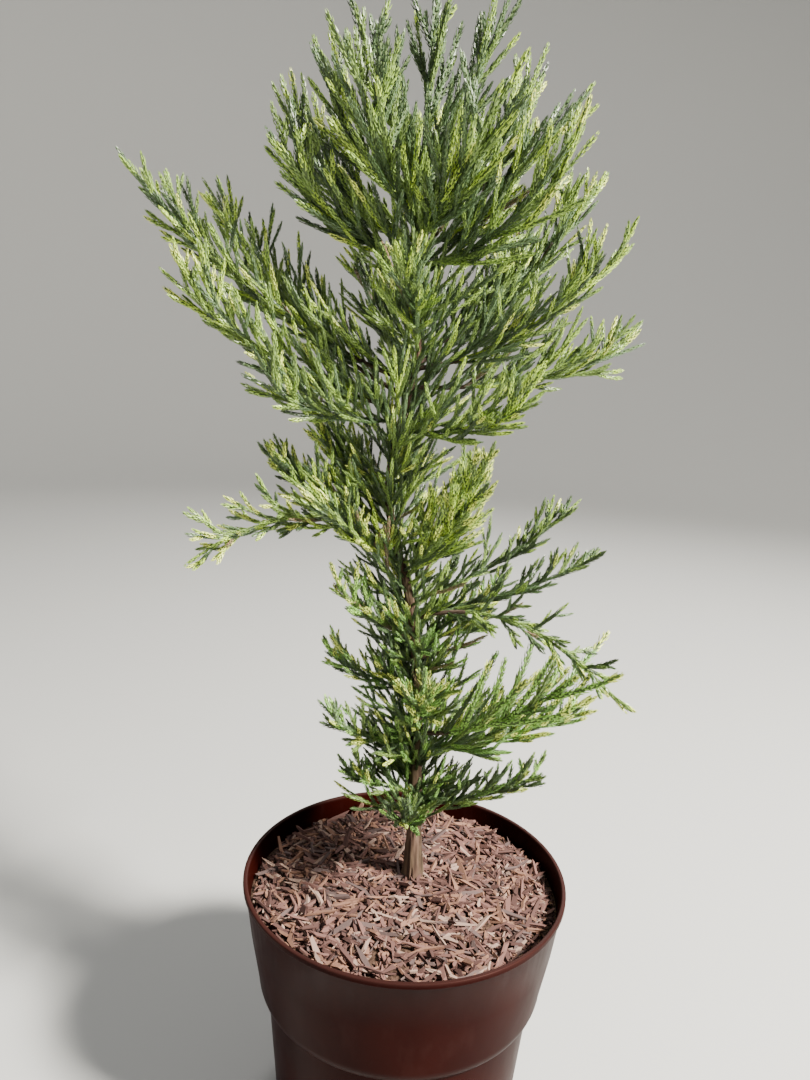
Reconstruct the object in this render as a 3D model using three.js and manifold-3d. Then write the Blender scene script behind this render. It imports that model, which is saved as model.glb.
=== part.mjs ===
// Young giant redwood in a brown plastic nursery pot.
// Millimetres, +Z up. The origin is the middle of the pot's flat underside.
// Headings are degrees round the trunk: 0 is +X (right), 90 is +Y (back), 270 is the front.
import * as THREE from 'three';
import { mergeVertices } from 'three/addons/utils/BufferGeometryUtils.js';
import Module from 'manifold-3d';

const wasm = await Module();
wasm.setup();

// Gap kept between neighbouring solids, and the distance within which two points are one
const clearance = 0.3;
const weld = 0.001;

// Pot: a tapered body, a curved step and a wide collar that ends in a rolled rim
const pot = {
  height: 290,
  rimRadius: 180,
  rimDepth: 6,
  rimWidth: 5,
  rimRound: 1.5,
  stepParts: 4,
  collarTopRadius: 177,
  collarFootRadius: 161,
  collarFootHeight: 174,
  bodyTopRadius: 150,
  bodyTopHeight: 156,
  footRadius: 137,
  footChamfer: 4,
  wall: 2.6,
  floor: 4,
  sides: 32,
};
const drain = { count: 6, radius: 8, ring: 104, sides: 6, cutDepth: 16 };

// What fills the pot: compost below, a low dome of shredded wood on top
const compostTop = 246;
const mulch = { edgeHeight: 268, topHeight: 284, flatRadius: 34, domeSteps: 3, domePower: 1.4, seed: 51 };
const chip = {
  count: 11,
  length: 30,
  width: 8,
  thickness: 4,
  innerRing: 46,
  outerRing: 152,
  raised: 0.6,
  lengthSpread: 0.6,
  roll: 0.5,
  pitch: 0.3,
};

// Trunk: leans a little, bows to the left twice and flares at the ground
const trunk = {
  topHeight: 1062,
  footX: 9,
  footY: -8,
  topX: -15,
  topY: 0,
  footRadius: 9,
  topRadius: 2.2,
  taperPower: 1.6,
  flare: 4.5,
  flareHeight: 26,
  flareLobes: 4,
  flareLobeDepth: 1.4,
  flareLobeTurn: 0.6,
  sides: 8,
  rings: 26,
  evenShare: 0.65,
};
const trunkBows = [
  { height: 725, reach: -34, width: 106 },
  { height: 990, reach: -11, width: 70 },
];

// Shoots: slim cords clothed in whorls of three pointed scales
const shoot = {
  sides: 3,
  tipShare: 0.4,
  coreRatio: 0.27,
  overhang: 0.42,
  sunk: 0.5,
  whorlPitch: 20,
  thickness: 14,
  tipThickness: 8,
  spacing: 18.5,
  leaveAngle: 44,
  leaveSpread: 14,
  lift: 0.36,
  curl: 0.16,
  firstAlong: 0.1,
  afterBough: 0.04,
  lastAlong: 0.84,
  shortest: 24,
  shortening: 0.4,
  unevenness: 0.3,
  turnSpread: 40,
  tries: 5,
  turnOn: 72,
};
const stem = { rootRadius: 2.3, tipRadius: 1.7, smoothShare: 0.8, step: 45 };

// A path whose middle rises more steeply than this is squared to +Y, and any other to +Z. Tangents
// are measured over a step this long, as a share of the path.
const steepSlope = 0.9;
const tangentStep = 0.01;

const bough = { rootRadius: 3.4, tipRadius: 2.5, sides: 5, steps: 3 };
const bead = { spacing: 6, share: 0.42, margin: 0.8, ownMargin: 0, freeAfter: 0.4, rootLength: 10 };
const goldenAngle = 137.5;
const degree = Math.PI / 180;

// Limbs, from the leader down. Each leaves the trunk at a height, along a heading and a rise, and
// reaches so far in a straight line. sag is how far its middle hangs under that line, as a share
// of the reach (below zero it arches over it). spread is its longest side shoot, and bare the
// share next to the trunk that is a bough without leaves.
const limbTable = [
  // name, height, heading, rise, reach, sag, spread, bare
  ['crown_leader', 1062, 20, 89, 119, 0, 64, 0],
  ['crown_leader_left', 1021, 197, 64, 157, 0.1, 66, 0],
  ['crown_right_top', 1012, 16, 66, 184, 0.1, 74, 0],
  ['crown_left_top', 999, 168, 52, 181, 0.12, 78, 0],
  ['crown_right_back', 988, 34, 48, 222, 0.12, 80, 0],
  ['crown_front_left', 984, 240, 44, 176, 0.12, 78, 0],
  ['crown_back', 975, 92, 44, 206, 0.12, 80, 0],
  ['crown_front_right', 968, 298, 40, 172, 0.12, 78, 0],
  ['crown_left_back', 966, 150, 39, 223, 0.12, 82, 0],
  ['crown_right_mid', 960, 2, 47, 202, 0.14, 78, 0],
  ['crown_left_front', 947, 200, 34, 182, 0.12, 80, 0],
  ['crown_right_front', 944, 338, 35, 196, 0.12, 78, 0],
  ['mid_front', 874, 262, 32, 164, 0.08, 62, 0],
  ['right_high', 864, 12, 45, 253, 0.12, 76, 0.24],
  ['mid_right_back', 852, 50, 37, 246, 0.1, 76, 0.24],
  ['mid_back', 838, 112, 38, 222, 0.1, 74, 0.22],
  ['right_mid', 846, 342, 31, 226, 0.1, 72, 0.22],
  ['left_high', 832, 186, 34, 332, 0.08, 80, 0.26],
  ['right_low', 828, 6, 13, 240, 0.06, 68, 0.22],
  ['left_mid', 818, 160, 41, 318, 0.1, 78, 0.26],
  ['right_front', 784, 318, 14, 172, 0.06, 64, 0],
  ['left_low', 806, 204, 26, 264, 0.08, 72, 0.24],
  ['left_under', 792, 218, 14, 182, 0.05, 64, 0],
  ['waist_left_high', 704, 158, 46, 152, 0.08, 62, 0],
  ['waist_left', 688, 190, 29, 154, 0.08, 62, 0],
  ['waist_left_droop', 674, 200, -6, 212, -0.16, 60, 0.22],
  ['waist_back', 680, 84, 34, 178, 0.08, 62, 0],
  ['waist_left_low', 650, 226, 33, 122, 0.06, 58, 0],
  ['waist_right_tuft', 632, 318, 55, 178, 0.08, 68, 0],
  ['waist_right', 610, 12, 31, 210, 0.08, 64, 0],
  ['waist_right_arm', 598, 352, 22, 204, 0.06, 58, 0],
  ['waist_right_droop', 588, 338, -14, 234, -0.18, 56, 0.24],
  ['low_left_high', 566, 206, 36, 116, 0.06, 54, 0],
  ['low_right_high', 560, 28, 22, 112, 0.06, 56, 0],
  ['low_back', 512, 98, 26, 144, 0.06, 58, 0],
  ['low_left', 508, 170, 18, 108, 0.06, 56, 0],
  ['low_front', 484, 272, 32, 112, 0.06, 58, 0],
  ['low_right', 462, 342, 31, 208, 0.12, 66, 0.2],
  ['low_left_front', 450, 216, 24, 120, 0.06, 58, 0],
  ['low_right_mid', 442, 8, 16, 200, 0.08, 62, 0],
  ['foot_back', 396, 104, 18, 112, 0.05, 50, 0],
  ['foot_left', 392, 200, 24, 92, 0.05, 50, 0],
  ['foot_right', 378, 350, 22, 146, 0.06, 56, 0],
  ['foot_front', 368, 262, 24, 100, 0.05, 50, 0],
];
const limbs = limbTable.map(([name, height, heading, rise, reach, sag, spread, bare]) => (
  { name, height, heading, rise, reach, sag, spread, bare }
));

const materials = {
  plastic: new THREE.MeshStandardMaterial({ color: 0x4a2a22, roughness: 0.42, metalness: 0 }),
  compost: new THREE.MeshStandardMaterial({ color: 0x2b211b, roughness: 1, metalness: 0 }),
  mulch: new THREE.MeshStandardMaterial({ color: 0x9a7360, roughness: 0.95, metalness: 0 }),
  bark: new THREE.MeshStandardMaterial({ color: 0x6e5545, roughness: 0.95, metalness: 0 }),
  foliage: new THREE.MeshStandardMaterial({ color: 0x5f8a35, roughness: 0.7, metalness: 0 }),
};

// Solids: closed three.js geometry in, closed three.js geometry out

function toSolid(geometry) {
  const bare = geometry.clone();
  bare.deleteAttribute('normal');
  bare.deleteAttribute('uv');
  const merged = mergeVertices(bare, weld);
  const vertProperties = new Float32Array(merged.attributes.position.array);
  const triVerts = new Uint32Array(merged.index.array);
  return new wasm.Manifold(new wasm.Mesh({ numProp: 3, vertProperties, triVerts }));
}

function toGeometry(solid) {
  const mesh = solid.getMesh();
  const geometry = new THREE.BufferGeometry();
  geometry.setAttribute('position', new THREE.BufferAttribute(mesh.vertProperties, 3));
  geometry.setIndex(new THREE.BufferAttribute(mesh.triVerts, 1));
  return geometry;
}

function largestPiece(solid) {
  const pieces = solid.decompose();
  return pieces.reduce((best, piece) => (piece.volume() > best.volume() ? piece : best));
}

// One body with no loose scrap and no sealed hollow, also once its points are welded
function oneBody(solid) {
  return toGeometry(largestPiece(toSolid(toGeometry(largestPiece(solid)))));
}

// Joins rings of points into one closed skin. All rings have the same number of points, but the
// first and the last may be a single point.
function skin(rings) {
  const sides = Math.max(...rings.map((ring) => ring.length));
  const starts = rings.map((ring, index) => rings.slice(0, index).flat().length);
  const at = (ring, corner) => starts[ring] + (rings[ring].length > 1 ? corner % sides : 0);
  const faces = [];
  for (let ring = 1; ring < rings.length; ring++) {
    for (let corner = 0; corner < sides; corner++) {
      const [low, lowNext] = [at(ring - 1, corner), at(ring - 1, corner + 1)];
      const [high, highNext] = [at(ring, corner), at(ring, corner + 1)];
      if (low !== lowNext) faces.push(low, lowNext, highNext);
      if (high !== highNext) faces.push(low, highNext, high);
    }
  }
  const last = rings.length - 1;
  for (let corner = 2; corner < sides; corner++) {
    if (rings[0].length > 1) faces.push(at(0, 0), at(0, corner), at(0, corner - 1));
    if (rings[last].length > 1) faces.push(at(last, 0), at(last, corner - 1), at(last, corner));
  }
  const positions = new Float32Array(rings.flat().flatMap((point) => [point.x, point.y, point.z]));
  const geometry = new THREE.BufferGeometry();
  geometry.setAttribute('position', new THREE.BufferAttribute(positions, 3));
  geometry.setIndex(faces);
  return geometry;
}

// A closed outline of [radius, height] points turned round the pot's axis
function turned(outline) {
  const points = outline.map(([radius, height]) => new THREE.Vector2(radius, height));
  return new THREE.LatheGeometry(points, pot.sides).rotateX(Math.PI / 2);
}

// Repeatable draws from 0 to 1
function drawer(seed) {
  let state = seed >>> 0;
  const draw = () => {
    state = (Math.imul(state, 1664525) + 1013904223) >>> 0;
    return state / 4294967296;
  };
  for (let skipped = 0; skipped < 4; skipped++) draw();
  return draw;
}

// Pot

function potOutside() {
  const { collarFootRadius, collarFootHeight, bodyTopRadius, bodyTopHeight } = pot;
  const step = [];
  for (let part = 0; part <= pot.stepParts; part++) {
    const angle = (part / pot.stepParts) * (Math.PI / 2);
    const radius = bodyTopRadius + (collarFootRadius - bodyTopRadius) * Math.sin(angle);
    const height = collarFootHeight - (collarFootHeight - bodyTopHeight) * Math.cos(angle);
    step.push([radius, height]);
  }
  return [
    [pot.footRadius - pot.footChamfer, 0],
    [pot.footRadius, pot.footChamfer],
    ...step,
    [pot.collarTopRadius, pot.height - pot.rimDepth],
    [pot.rimRadius, pot.height - pot.rimDepth],
    [pot.rimRadius, pot.height - pot.rimRound],
    [pot.rimRadius - pot.rimRound, pot.height],
  ];
}

// The inner face: one straight cone inside the collar and one inside the body
function potInside(gap) {
  const { wall } = pot;
  return [
    [pot.footRadius - wall - gap, pot.floor + gap],
    [pot.bodyTopRadius - wall - gap, pot.bodyTopHeight + wall],
    [pot.collarFootRadius - wall - gap, pot.collarFootHeight + wall],
    [pot.rimRadius - pot.rimWidth - gap, pot.height],
  ];
}

function innerRadius(height, gap) {
  const line = potInside(gap);
  for (let index = 1; index < line.length; index++) {
    const [lowRadius, lowHeight] = line[index - 1];
    const [highRadius, highHeight] = line[index];
    if (height <= highHeight) {
      return lowRadius + ((highRadius - lowRadius) * (height - lowHeight)) / (highHeight - lowHeight);
    }
  }
  return line[line.length - 1][0];
}

function makePot() {
  const outline = [[0, 0], ...potOutside(), ...potInside(0).reverse(), [0, pot.floor]];
  let solid = toSolid(turned(outline));
  for (let hole = 0; hole < drain.count; hole++) {
    const angle = ((hole + 0.5) / drain.count) * 2 * Math.PI;
    const plug = new THREE.CylinderGeometry(drain.radius, drain.radius, drain.cutDepth, drain.sides);
    plug.rotateX(Math.PI / 2);
    plug.translate(drain.ring * Math.cos(angle), drain.ring * Math.sin(angle), pot.floor / 2);
    solid = solid.subtract(toSolid(plug));
  }
  return toGeometry(solid);
}

function makeCompost() {
  const wallLine = potInside(clearance).filter(([, height]) => height < compostTop);
  const outline = [
    [0, pot.floor + clearance],
    ...wallLine,
    [innerRadius(compostTop, clearance), compostTop],
    [0, compostTop],
  ];
  return turned(outline);
}

function mulchHeight(radius) {
  const edge = innerRadius(mulch.edgeHeight, clearance);
  const along = Math.max(0, (radius - mulch.flatRadius) / (edge - mulch.flatRadius));
  return mulch.topHeight - (mulch.topHeight - mulch.edgeHeight) * along ** mulch.domePower;
}

function makeMulch() {
  const draw = drawer(mulch.seed);
  const foot = compostTop + clearance;
  const edge = innerRadius(mulch.edgeHeight, clearance);
  const dome = [];
  for (let step = 0; step <= mulch.domeSteps; step++) {
    const radius = edge + ((mulch.flatRadius - edge) * step) / mulch.domeSteps;
    dome.push([radius, mulchHeight(radius)]);
  }
  const outline = [[0, foot], [innerRadius(foot, clearance), foot], ...dome, [0, mulch.topHeight]];
  let solid = toSolid(turned(outline));
  for (let index = 0; index < chip.count; index++) {
    const ring = chip.innerRing + (chip.outerRing - chip.innerRing) * Math.sqrt((index + 0.5) / chip.count);
    const angle = index * goldenAngle * degree;
    const length = chip.length * (1 + chip.lengthSpread * (draw() - 0.5));
    const piece = new THREE.BoxGeometry(length, chip.width, chip.thickness);
    piece.rotateX((draw() - 0.5) * chip.roll);
    piece.rotateY((draw() - 0.5) * chip.pitch);
    piece.rotateZ(draw() * Math.PI);
    piece.translate(ring * Math.cos(angle), ring * Math.sin(angle), mulchHeight(ring) + chip.raised);
    solid = solid.add(toSolid(piece));
  }
  return oneBody(solid);
}

// Trunk

function trunkAxis(height) {
  const along = (height - mulch.topHeight) / (trunk.topHeight - mulch.topHeight);
  const x = trunk.footX + (trunk.topX - trunk.footX) * along;
  const y = trunk.footY + (trunk.topY - trunk.footY) * along;
  const bowOut = (bow) => bow.reach * Math.exp(-(((height - bow.height) / bow.width) ** 2));
  const bowed = trunkBows.reduce((sum, bow) => sum + bowOut(bow), x);
  return new THREE.Vector3(bowed, y, height);
}

function trunkRadius(height) {
  const along = Math.min(1, (height - mulch.topHeight) / (trunk.topHeight - mulch.topHeight));
  return trunk.topRadius + (trunk.footRadius - trunk.topRadius) * (1 - along) ** trunk.taperPower;
}

function trunkFlare(height, angle) {
  const fade = Math.exp(-(height - mulch.topHeight) / trunk.flareHeight);
  const lobe = trunk.flareLobeDepth * Math.cos(trunk.flareLobes * angle + trunk.flareLobeTurn);
  return fade * (trunk.flare + lobe);
}

// grown makes the same trunk that much fatter all round
function trunkSolid(grown) {
  const rings = [];
  const foot = mulch.topHeight + clearance;
  for (let ring = 0; ring <= trunk.rings; ring++) {
    const share = ring / trunk.rings;
    const rising = trunk.evenShare * share + (1 - trunk.evenShare) * share * share;
    const height = foot + (trunk.topHeight - foot) * rising;
    const centre = trunkAxis(height);
    const points = [];
    for (let side = 0; side < trunk.sides; side++) {
      const angle = (side / trunk.sides) * 2 * Math.PI;
      const radius = trunkRadius(height) + trunkFlare(height, angle) + grown;
      const outward = new THREE.Vector3(Math.cos(angle), Math.sin(angle), 0);
      points.push(outward.multiplyScalar(radius).add(centre));
    }
    rings.push(points);
  }
  return toSolid(skin(rings));
}

// Limbs

function limbPath(limb) {
  const start = trunkAxis(limb.height);
  const heading = limb.heading * degree;
  const rise = limb.rise * degree;
  const level = limb.reach * Math.cos(rise);
  return (along) => new THREE.Vector3(
    start.x + level * Math.cos(heading) * along,
    start.y + level * Math.sin(heading) * along,
    start.z + limb.reach * (Math.sin(rise) * along - limb.sag * 4 * along * (1 - along)),
  );
}

// A path from a root point: straight along a direction, then curling up
function shootPath(root, direction, length) {
  return (along) => new THREE.Vector3(
    root.x + direction.x * length * along,
    root.y + direction.y * length * along,
    root.z + direction.z * length * along + shoot.curl * length * along * along,
  );
}

function tangentAt(path, along) {
  return path(along + tangentStep).sub(path(along - tangentStep)).normalize();
}

// Two directions square to a path, the second one on its upper side
function squareTo(path, along) {
  const tangent = tangentAt(path, along);
  const steep = Math.abs(tangentAt(path, 0.5).z) > steepSlope;
  const reference = steep ? new THREE.Vector3(0, 1, 0) : new THREE.Vector3(0, 0, 1);
  const across = new THREE.Vector3().crossVectors(reference, tangent).normalize();
  const over = new THREE.Vector3().crossVectors(tangent, across);
  return { tangent, across, over };
}

// Corners of a ring round a path, square to it
function ringAt(path, along, radius, sides, turn) {
  const { across, over } = squareTo(path, along);
  const points = [];
  for (let side = 0; side < sides; side++) {
    const angle = turn + (side / sides) * 2 * Math.PI;
    const point = path(along).addScaledVector(across, radius * Math.cos(angle));
    points.push(point.addScaledVector(over, radius * Math.sin(angle)));
  }
  return points;
}

// Rings of a cord clothed in whorls of scales: each whorl widens to three points that stand
// over the slim start of the next, and the last one closes to a point. A whorl is turned back
// by half a scale from the one below it, so that the skin between them never passes its axis.
function scalyRings(path, from, length) {
  const rings = [];
  const whorls = Math.max(2, Math.round(((1 - from) * length) / shoot.whorlPitch));
  const pitch = (1 - from) / (whorls + shoot.tipShare);
  for (let whorl = 0; whorl < whorls; whorl++) {
    const turn = (-whorl * Math.PI) / shoot.sides;
    const radius = (shoot.thickness + ((shoot.tipThickness - shoot.thickness) * whorl) / whorls) / 2;
    const start = from + pitch * (whorl - shoot.overhang);
    if (whorl > 0) rings.push(ringAt(path, start, radius * shoot.coreRatio, shoot.sides, turn));
    rings.push(ringAt(path, from + pitch * (whorl + 1), radius, shoot.sides, turn));
  }
  rings.push([path(1)]);
  return rings;
}

// A side shoot starts as a point sunk a little way behind its parent's axis
function shootRings(path, length) {
  return [[path(-shoot.sunk / length)], ...scalyRings(path, 0, length)];
}

function beadsOf(path, from, to, length, radius, owner) {
  const count = Math.max(2, Math.ceil(((to - from) * length) / bead.spacing));
  const beads = [];
  for (let index = 0; index <= count; index++) {
    const along = from + ((to - from) * index) / count;
    beads.push({ centre: path(along), radius, owner, along });
  }
  return beads;
}

// Whether a shoot would touch another limb or mass, or its own mass away from its root
function blocked(beads, taken, owner) {
  return beads.some((one) => taken.some((other) => {
    const own = other.owner === owner;
    if (own && one.along < bead.freeAfter) return false;
    const reach = one.radius + other.radius + (own ? bead.ownMargin : bead.margin);
    return one.centre.distanceToSquared(other.centre) < reach * reach;
  }));
}

function shootDirection(path, along, turn, leave) {
  const { tangent, across, over } = squareTo(path, along);
  const direction = tangent.multiplyScalar(Math.cos(leave));
  direction.addScaledVector(across, Math.sin(leave) * Math.cos(turn));
  direction.addScaledVector(over, Math.sin(leave) * Math.sin(turn));
  direction.z += shoot.lift;
  return direction.normalize();
}

// The seeded rule: side shoots leave a parent one after another, each turned on by the golden
// angle. One that would touch something is turned on again, and skipped after a few tries.
function sideShoots(parent, rule, draw, taken, owner) {
  const grown = [];
  for (let index = 0; index < rule.count; index++) {
    const along = rule.first + ((rule.last - rule.first) * (index + 0.5)) / rule.count;
    const length = rule.longest * (1 - shoot.shortening * along) * (1 + shoot.unevenness * (draw() - 0.5));
    const leave = (shoot.leaveAngle + shoot.leaveSpread * (draw() - 0.5)) * degree;
    const firstTurn = index * goldenAngle + shoot.turnSpread * draw();
    if (length < shoot.shortest) continue;
    for (let attempt = 0; attempt < shoot.tries; attempt++) {
      const turn = (firstTurn + attempt * shoot.turnOn) * degree;
      const path = shootPath(parent(along), shootDirection(parent, along, turn, leave), length);
      const beads = beadsOf(path, 0, 1, length, shoot.thickness * bead.share, owner);
      if (blocked(beads, taken, owner)) continue;
      taken.push(...beads);
      grown.push({ path, length });
      break;
    }
  }
  return grown;
}

function stemRings(path, from, limb) {
  const rings = [];
  const smoothEnd = from + (1 - from) * stem.smoothShare;
  const steps = Math.max(1, Math.round(((smoothEnd - from) * limb.reach) / stem.step));
  for (let step = 0; step <= steps; step++) {
    const share = step / steps;
    const radius = stem.rootRadius + (stem.tipRadius - stem.rootRadius) * share;
    rings.push(ringAt(path, from + (smoothEnd - from) * share, radius, shoot.sides, 0));
  }
  return [...rings, ...scalyRings(path, smoothEnd, limb.reach)];
}

function makeBough(limb, path, fatTrunk) {
  const rings = [];
  for (let step = 0; step <= bough.steps; step++) {
    const share = step / bough.steps;
    const radius = bough.rootRadius + (bough.tipRadius - bough.rootRadius) * share;
    rings.push(ringAt(path, limb.bare * share, radius, bough.sides, 0));
  }
  return oneBody(toSolid(skin(rings)).subtract(fatTrunk));
}

function makeMass(limb, path, shoots, fatTrunk) {
  const from = limb.bare > 0 ? limb.bare + clearance / limb.reach : 0;
  let solid = toSolid(skin(stemRings(path, from, limb)));
  if (from === 0) solid = solid.subtract(fatTrunk);
  for (const { path: own, length } of shoots) {
    solid = solid.add(toSolid(skin(shootRings(own, length))));
  }
  return oneBody(solid);
}

// All stems are placed first, then every mass gets its shoots in turn
function growTree() {
  const taken = [];
  for (let height = mulch.topHeight; height < trunk.topHeight; height += bead.spacing) {
    taken.push({ centre: trunkAxis(height), radius: trunkRadius(height), owner: 'trunk' });
  }
  const grown = limbs.map((limb, index) => ({ limb, draw: drawer(index + 1), path: limbPath(limb) }));
  for (const { limb, path } of grown) {
    const { name, bare, reach } = limb;
    const rooted = Math.max(bare, bead.rootLength / reach);
    const boughName = `bough_${name}`;
    if (bare > 0) taken.push(...beadsOf(path, shoot.afterBough, bare, reach, bough.rootRadius, boughName));
    taken.push(...beadsOf(path, rooted, stem.smoothShare, reach, stem.rootRadius, name));
    taken.push(...beadsOf(path, stem.smoothShare, 1, reach, shoot.thickness * bead.share, name));
  }
  for (const mass of grown) {
    const { limb, draw, path } = mass;
    const first = Math.max(limb.bare + shoot.afterBough, shoot.firstAlong);
    const count = Math.round(((shoot.lastAlong - first) * limb.reach) / shoot.spacing);
    const rule = { count, first, last: shoot.lastAlong, longest: limb.spread };
    mass.shoots = sideShoots(path, rule, draw, taken, limb.name);
  }
  return grown;
}

const tree = new THREE.Group();

function place(name, geometry, material) {
  const mesh = new THREE.Mesh(geometry, material);
  mesh.name = name;
  tree.add(mesh);
}

place('pot', makePot(), materials.plastic);
place('compost', makeCompost(), materials.compost);
place('mulch', makeMulch(), materials.mulch);
place('trunk', toGeometry(trunkSolid(0)), materials.bark);

const fatTrunk = trunkSolid(clearance);
for (const { limb, path, shoots } of growTree()) {
  if (limb.bare > 0) place(`bough_${limb.name}`, makeBough(limb, path, fatTrunk), materials.bark);
  place(`foliage_${limb.name}`, makeMass(limb, path, shoots, fatTrunk), materials.foliage);
}

export default tree;
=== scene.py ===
import math

import bpy
import numpy as np
from mathutils import Matrix, Vector, noise


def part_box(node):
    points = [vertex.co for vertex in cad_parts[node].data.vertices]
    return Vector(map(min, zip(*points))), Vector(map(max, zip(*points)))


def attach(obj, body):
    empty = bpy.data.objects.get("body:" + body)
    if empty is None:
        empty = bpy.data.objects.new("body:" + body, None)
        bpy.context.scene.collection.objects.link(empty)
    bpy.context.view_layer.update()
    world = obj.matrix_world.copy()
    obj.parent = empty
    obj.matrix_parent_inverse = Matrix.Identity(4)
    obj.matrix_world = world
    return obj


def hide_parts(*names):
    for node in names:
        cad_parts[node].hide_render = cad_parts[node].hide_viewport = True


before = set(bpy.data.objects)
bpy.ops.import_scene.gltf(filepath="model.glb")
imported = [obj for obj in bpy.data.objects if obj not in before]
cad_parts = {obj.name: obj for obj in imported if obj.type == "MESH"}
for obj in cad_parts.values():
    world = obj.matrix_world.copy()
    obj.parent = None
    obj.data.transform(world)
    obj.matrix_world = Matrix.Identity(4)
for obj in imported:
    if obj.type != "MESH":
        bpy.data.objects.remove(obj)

# Potted young giant redwood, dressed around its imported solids.
# Sizes in the dictionaries are millimetres, as in the part's source; Blender works in metres.
mm = 0.001
degree = math.pi / 180
goldenAngle = 137.5
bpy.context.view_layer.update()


# Helpers shared by the pieces

def between(first, last, share):
    return first + (last - first) * share


def newObject(name, data):
    piece = bpy.data.objects.new(name, data)
    bpy.context.scene.collection.objects.link(piece)
    return piece


def deselectAll():
    if bpy.context.object and bpy.context.object.mode != "OBJECT":
        bpy.ops.object.mode_set(mode="OBJECT")
    bpy.ops.object.select_all(action="DESELECT")


def selectOnly(piece):
    deselectAll()
    piece.select_set(True)
    bpy.context.view_layer.objects.active = piece


def applyPlace(piece):
    selectOnly(piece)
    bpy.ops.object.transform_apply(location=True, rotation=True, scale=True)


def shadeByAngle(piece, angle):
    selectOnly(piece)
    bpy.ops.object.shade_smooth_by_angle(angle=angle * degree)


def finishPiece(piece, name, material, nodes):
    piece.name = name
    piece.data.name = name
    piece.data.materials.clear()
    piece.data.materials.append(material)
    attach(piece, "root")
    if nodes:
        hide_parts(*nodes)


def drawer(seed):   # repeatable draws from 0 to 1, the same as in the part's source
    state = seed & 0xFFFFFFFF

    def draw():
        nonlocal state
        state = (state * 1664525 + 1013904223) & 0xFFFFFFFF
        return state / 4294967296

    for skipped in range(4):
        draw()
    return draw


# Camera

cameraView = {
    "lens": 28.7,   # on a 36 mm long side
    "place": (-19.4, -870.1, 863.5),
    "pitchDown": 12.44,
    "rollClockwise": 3.0,
}


def addCamera(view):
    data = bpy.data.cameras.new("camera")
    data.lens = view["lens"]
    camera = newObject("camera", data)
    tilt = Matrix.Rotation((90 - view["pitchDown"]) * degree, 4, "X")
    roll = Matrix.Rotation(view["rollClockwise"] * degree, 4, "Z")
    camera.matrix_world = Matrix.Translation(Vector(view["place"]) * mm) @ tilt @ roll
    bpy.context.scene.camera = camera


addCamera(cameraView)


# Materials

def newMaterial(name, colour, roughness, specular=0.5):
    material = bpy.data.materials.new(name)
    material.use_nodes = True
    shader = material.node_tree.nodes["Principled BSDF"]
    shader.inputs["Base Color"].default_value = (*colour, 1)
    shader.inputs["Roughness"].default_value = roughness
    shader.inputs["Specular IOR Level"].default_value = specular
    return material, shader


def feed(material, target, given):   # a socket is linked, anything else is a fixed value
    if isinstance(given, bpy.types.NodeSocket):
        material.node_tree.links.new(given, target)
    else:
        target.default_value = given


def addNode(material, kind, **settings):   # for the node's inputs, or else its own settings
    node = material.node_tree.nodes.new(kind)
    for key, value in settings.items():
        if key in node.inputs:
            feed(material, node.inputs[key], value)
        else:
            setattr(node, key, value)
    return node


def objectNoise(material, scale, detail, stretch=(1, 1, 1)):
    place = addNode(material, "ShaderNodeTexCoord").outputs["Object"]
    stretched = addNode(material, "ShaderNodeMapping", Vector=place, Scale=stretch).outputs["Vector"]
    return addNode(
        material, "ShaderNodeTexNoise", Vector=stretched, Scale=scale, Detail=detail
    ).outputs["Fac"]


def mapRange(material, source, low, high, start=0, end=1):
    bounds = {"From Min": start, "From Max": end, "To Min": low, "To Max": high}
    return addNode(material, "ShaderNodeMapRange", Value=source, **bounds).outputs["Result"]


def heightShare(material, low, high, most=1):   # 0 up to the low height, the most from the high one on
    place = addNode(material, "ShaderNodeTexCoord").outputs["Object"]
    height = addNode(material, "ShaderNodeSeparateXYZ", Vector=place).outputs["Z"]
    return mapRange(material, height, 0, most, low * mm, high * mm)


def colourRamp(material, source, stops):
    ramp = addNode(material, "ShaderNodeValToRGB", Fac=source)
    elements = ramp.color_ramp.elements
    for index, (place, colour) in enumerate(stops):
        if index >= 2:
            elements.new(place)
        elements[index].position = place
        elements[index].color = (*colour, 1)
    return ramp.outputs["Color"]


def mixColours(material, share, first, second, way="MIX"):
    mix = addNode(material, "ShaderNodeMix", data_type="RGBA", blend_type=way)
    for index, given in ((0, share), (6, first), (7, second)):
        feed(material, mix.inputs[index], given)
    return mix.outputs[2]


def bump(material, shader, source, strength, depth):
    relief = addNode(material, "ShaderNodeBump", Height=source, Strength=strength, Distance=depth * mm)
    feed(material, shader.inputs["Normal"], relief.outputs["Normal"])


def grainMaterial(name, colour, look, stops=None):   # one fine pattern for colour, gloss and relief
    plain, *ranged = look["roughness"]   # one value, or its range after it
    material, shader = newMaterial(name, colour, plain, look["specular"])
    grain = objectNoise(material, *look["grain"])
    if stops:
        feed(material, shader.inputs["Base Color"], colourRamp(material, grain, stops))
    if ranged:
        feed(material, shader.inputs["Roughness"], mapRange(material, grain, *ranged))
    bump(material, shader, grain, *look["relief"])
    return material


# Turned shapes: a disc or ring is drawn out ring by ring

def startRing(radius, place, sides, fill="NGON", mode="FACE"):   # left in edit mode, all selected
    deselectAll()
    bpy.ops.mesh.primitive_circle_add(
        vertices=sides, radius=radius * mm, fill_type=fill, location=[value * mm for value in place]
    )
    piece = bpy.context.object
    applyPlace(piece)
    bpy.ops.object.mode_set(mode="EDIT")
    bpy.ops.mesh.select_mode(type=mode)
    bpy.ops.mesh.select_all(action="SELECT")
    return piece


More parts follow.
